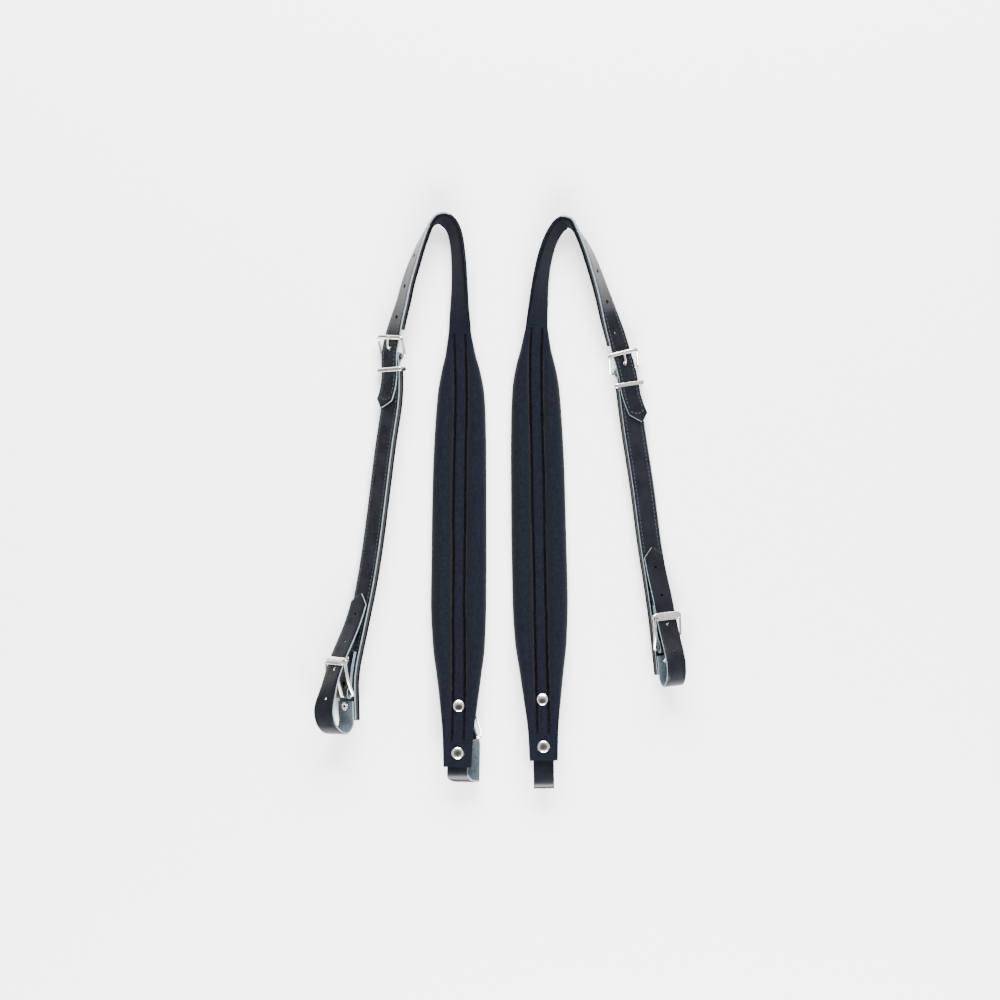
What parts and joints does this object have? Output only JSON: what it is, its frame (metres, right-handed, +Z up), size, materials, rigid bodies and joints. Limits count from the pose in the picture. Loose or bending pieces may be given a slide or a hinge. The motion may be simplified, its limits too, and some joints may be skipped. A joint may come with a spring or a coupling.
{
  "type": "pair of accordion shoulder straps",
  "caption": "Pair of padded leather and velvet accordion shoulder straps with pin buckles, keepers and looped ends closed by small riveted buckles.",
  "frame": {"origin": "centre of the pair's box on the surface that it lies on", "axes": "+X towards the right strap, +Y towards the top bends, +Z up from the surface"},
  "size_m": [0.3702, 0.5754, 0.0416],
  "materials": {
    "leather": "smooth black leather, soft gloss",
    "velvet": "short black velvet pile, matte",
    "foam": "open foam stuffing",
    "nickel": "bright nickel plate"
  },
  "bodies": {
    "left_strap": {"left_long_leather": "leather", "left_upper_lining": "velvet", "left_pad_velvet": "velvet", "left_pad_foam_inner": "foam", "left_pad_foam_outer": "foam", "left_lower_leather": "leather", "left_lower_lining": "velvet", "left_pad_end_strip": "leather", "left_pad_end_chape": "leather", "left_pad_end_rivet_1": "nickel", "left_pad_end_rivet_2": "nickel", "left_lower_end_strip": "leather", "left_lower_end_chape": "leather", "left_lower_end_rivet_1": "nickel", "left_lower_end_rivet_2": "nickel"},
    "left_buckle_frame": {"left_main_frame": "nickel"},
    "left_buckle_prong": {"left_main_prong": "nickel"},
    "left_keeper": {"left_keeper": "nickel"},
    "left_pad_end_frame": {"left_pad_end_frame": "nickel"},
    "left_pad_end_tongue": {"left_pad_end_tongue": "nickel"},
    "left_lower_end_frame": {"left_lower_end_frame": "nickel"},
    "left_lower_end_tongue": {"left_lower_end_tongue": "nickel"},
    "right_strap": {"right_long_leather": "leather", "right_upper_lining": "velvet", "right_pad_velvet": "velvet", "right_pad_foam_inner": "foam", "right_pad_foam_outer": "foam", "right_lower_leather": "leather", "right_lower_lining": "velvet", "right_pad_end_strip": "leather", "right_pad_end_chape": "leather", "right_pad_end_rivet_1": "nickel", "right_pad_end_rivet_2": "nickel", "right_lower_end_strip": "leather", "right_lower_end_chape": "leather", "right_lower_end_rivet_1": "nickel", "right_lower_end_rivet_2": "nickel"},
    "right_buckle_frame": {"right_main_frame": "nickel"},
    "right_buckle_prong": {"right_main_prong": "nickel"},
    "right_keeper": {"right_keeper": "nickel"},
    "right_pad_end_frame": {"right_pad_end_frame": "nickel"},
    "right_pad_end_tongue": {"right_pad_end_tongue": "nickel"},
    "right_lower_end_frame": {"right_lower_end_frame": "nickel"},
    "right_lower_end_tongue": {"right_lower_end_tongue": "nickel"}
  },
  "joints": [
    {"name": "left_buckle_hinge", "type": "hinge", "parent": "left_strap", "child": "left_buckle_frame", "pos_m": [-0.10703, 0.144, 0.01127], "axis": [0.7883, -0.0761, 0.6106], "range_deg": [0, 2]},
    {"name": "left_prong_hinge", "type": "hinge", "parent": "left_buckle_frame", "child": "left_buckle_prong", "pos_m": [-0.10703, 0.144, 0.01127], "axis": [0.7883, -0.0761, 0.6106], "range_deg": [0, 1]},
    {"name": "left_keeper_slide", "type": "slide", "parent": "left_strap", "child": "left_keeper", "axis": [0.0332, -0.9993, 0.0163], "range_m": [-0.006, 0.012]},
    {"name": "left_pad_end_frame_hinge", "type": "hinge", "parent": "left_strap", "child": "left_pad_end_frame", "pos_m": [-0.03131, -0.23945, 0.0159], "axis": [-0.9538, -0.2984, 0.0342], "range_deg": [0, 90]},
    {"name": "left_pad_end_tongue_hinge", "type": "hinge", "parent": "left_strap", "child": "left_pad_end_tongue", "pos_m": [-0.03131, -0.23945, 0.0159], "axis": [-0.9538, -0.2984, 0.0342], "range_deg": [-8, 1]},
    {"name": "left_lower_end_frame_hinge", "type": "hinge", "parent": "left_strap", "child": "left_lower_end_frame", "pos_m": [-0.15635, -0.19445, 0.01625], "axis": [0.7589, -0.0385, 0.65], "range_deg": [0, 75]},
    {"name": "left_lower_end_tongue_hinge", "type": "hinge", "parent": "left_strap", "child": "left_lower_end_tongue", "pos_m": [-0.15635, -0.19445, 0.01625], "axis": [0.7589, -0.0385, 0.65], "range_deg": [-2, 2]},
    {"name": "right_buckle_hinge", "type": "hinge", "parent": "right_strap", "child": "right_buckle_frame", "pos_m": [0.12421, 0.12939, 0.00798], "axis": [0.9129, 0.2431, -0.3278], "range_deg": [0, 3]},
    {"name": "right_prong_hinge", "type": "hinge", "parent": "right_buckle_frame", "child": "right_buckle_prong", "pos_m": [0.12421, 0.12939, 0.00798], "axis": [0.9129, 0.2431, -0.3278], "range_deg": [0, 1]},
    {"name": "right_keeper_slide", "type": "slide", "parent": "right_strap", "child": "right_keeper", "axis": [0.1633, -0.9866, -0.0009], "range_m": [-0.006, 0.004]},
    {"name": "right_pad_end_frame_hinge", "type": "hinge", "parent": "right_strap", "child": "right_pad_end_frame", "pos_m": [0.04289, -0.23454, 0.01601], "axis": [-0.9998, -0.0221, 0.0013], "range_deg": [0, 90]},
    {"name": "right_pad_end_tongue_hinge", "type": "hinge", "parent": "right_strap", "child": "right_pad_end_tongue", "pos_m": [0.04289, -0.23454, 0.01601], "axis": [-0.9998, -0.0221, 0.0013], "range_deg": [-8, 2]},
    {"name": "right_lower_end_frame_hinge", "type": "hinge", "parent": "right_strap", "child": "right_lower_end_frame", "pos_m": [0.16672, -0.14833, 0.01396], "axis": [0.9348, 0.1038, -0.3398], "range_deg": [0, 90]},
    {"name": "right_lower_end_tongue_hinge", "type": "hinge", "parent": "right_strap", "child": "right_lower_end_tongue", "pos_m": [0.16672, -0.14833, 0.01396], "axis": [0.9348, 0.1038, -0.3398], "range_deg": [-10, 2]},
    {"name": "right_strap_apart", "type": "slide", "parent": "left_strap", "child": "right_strap", "axis": [1, 0, 0], "range_m": [0, 0.15]}
  ]
}
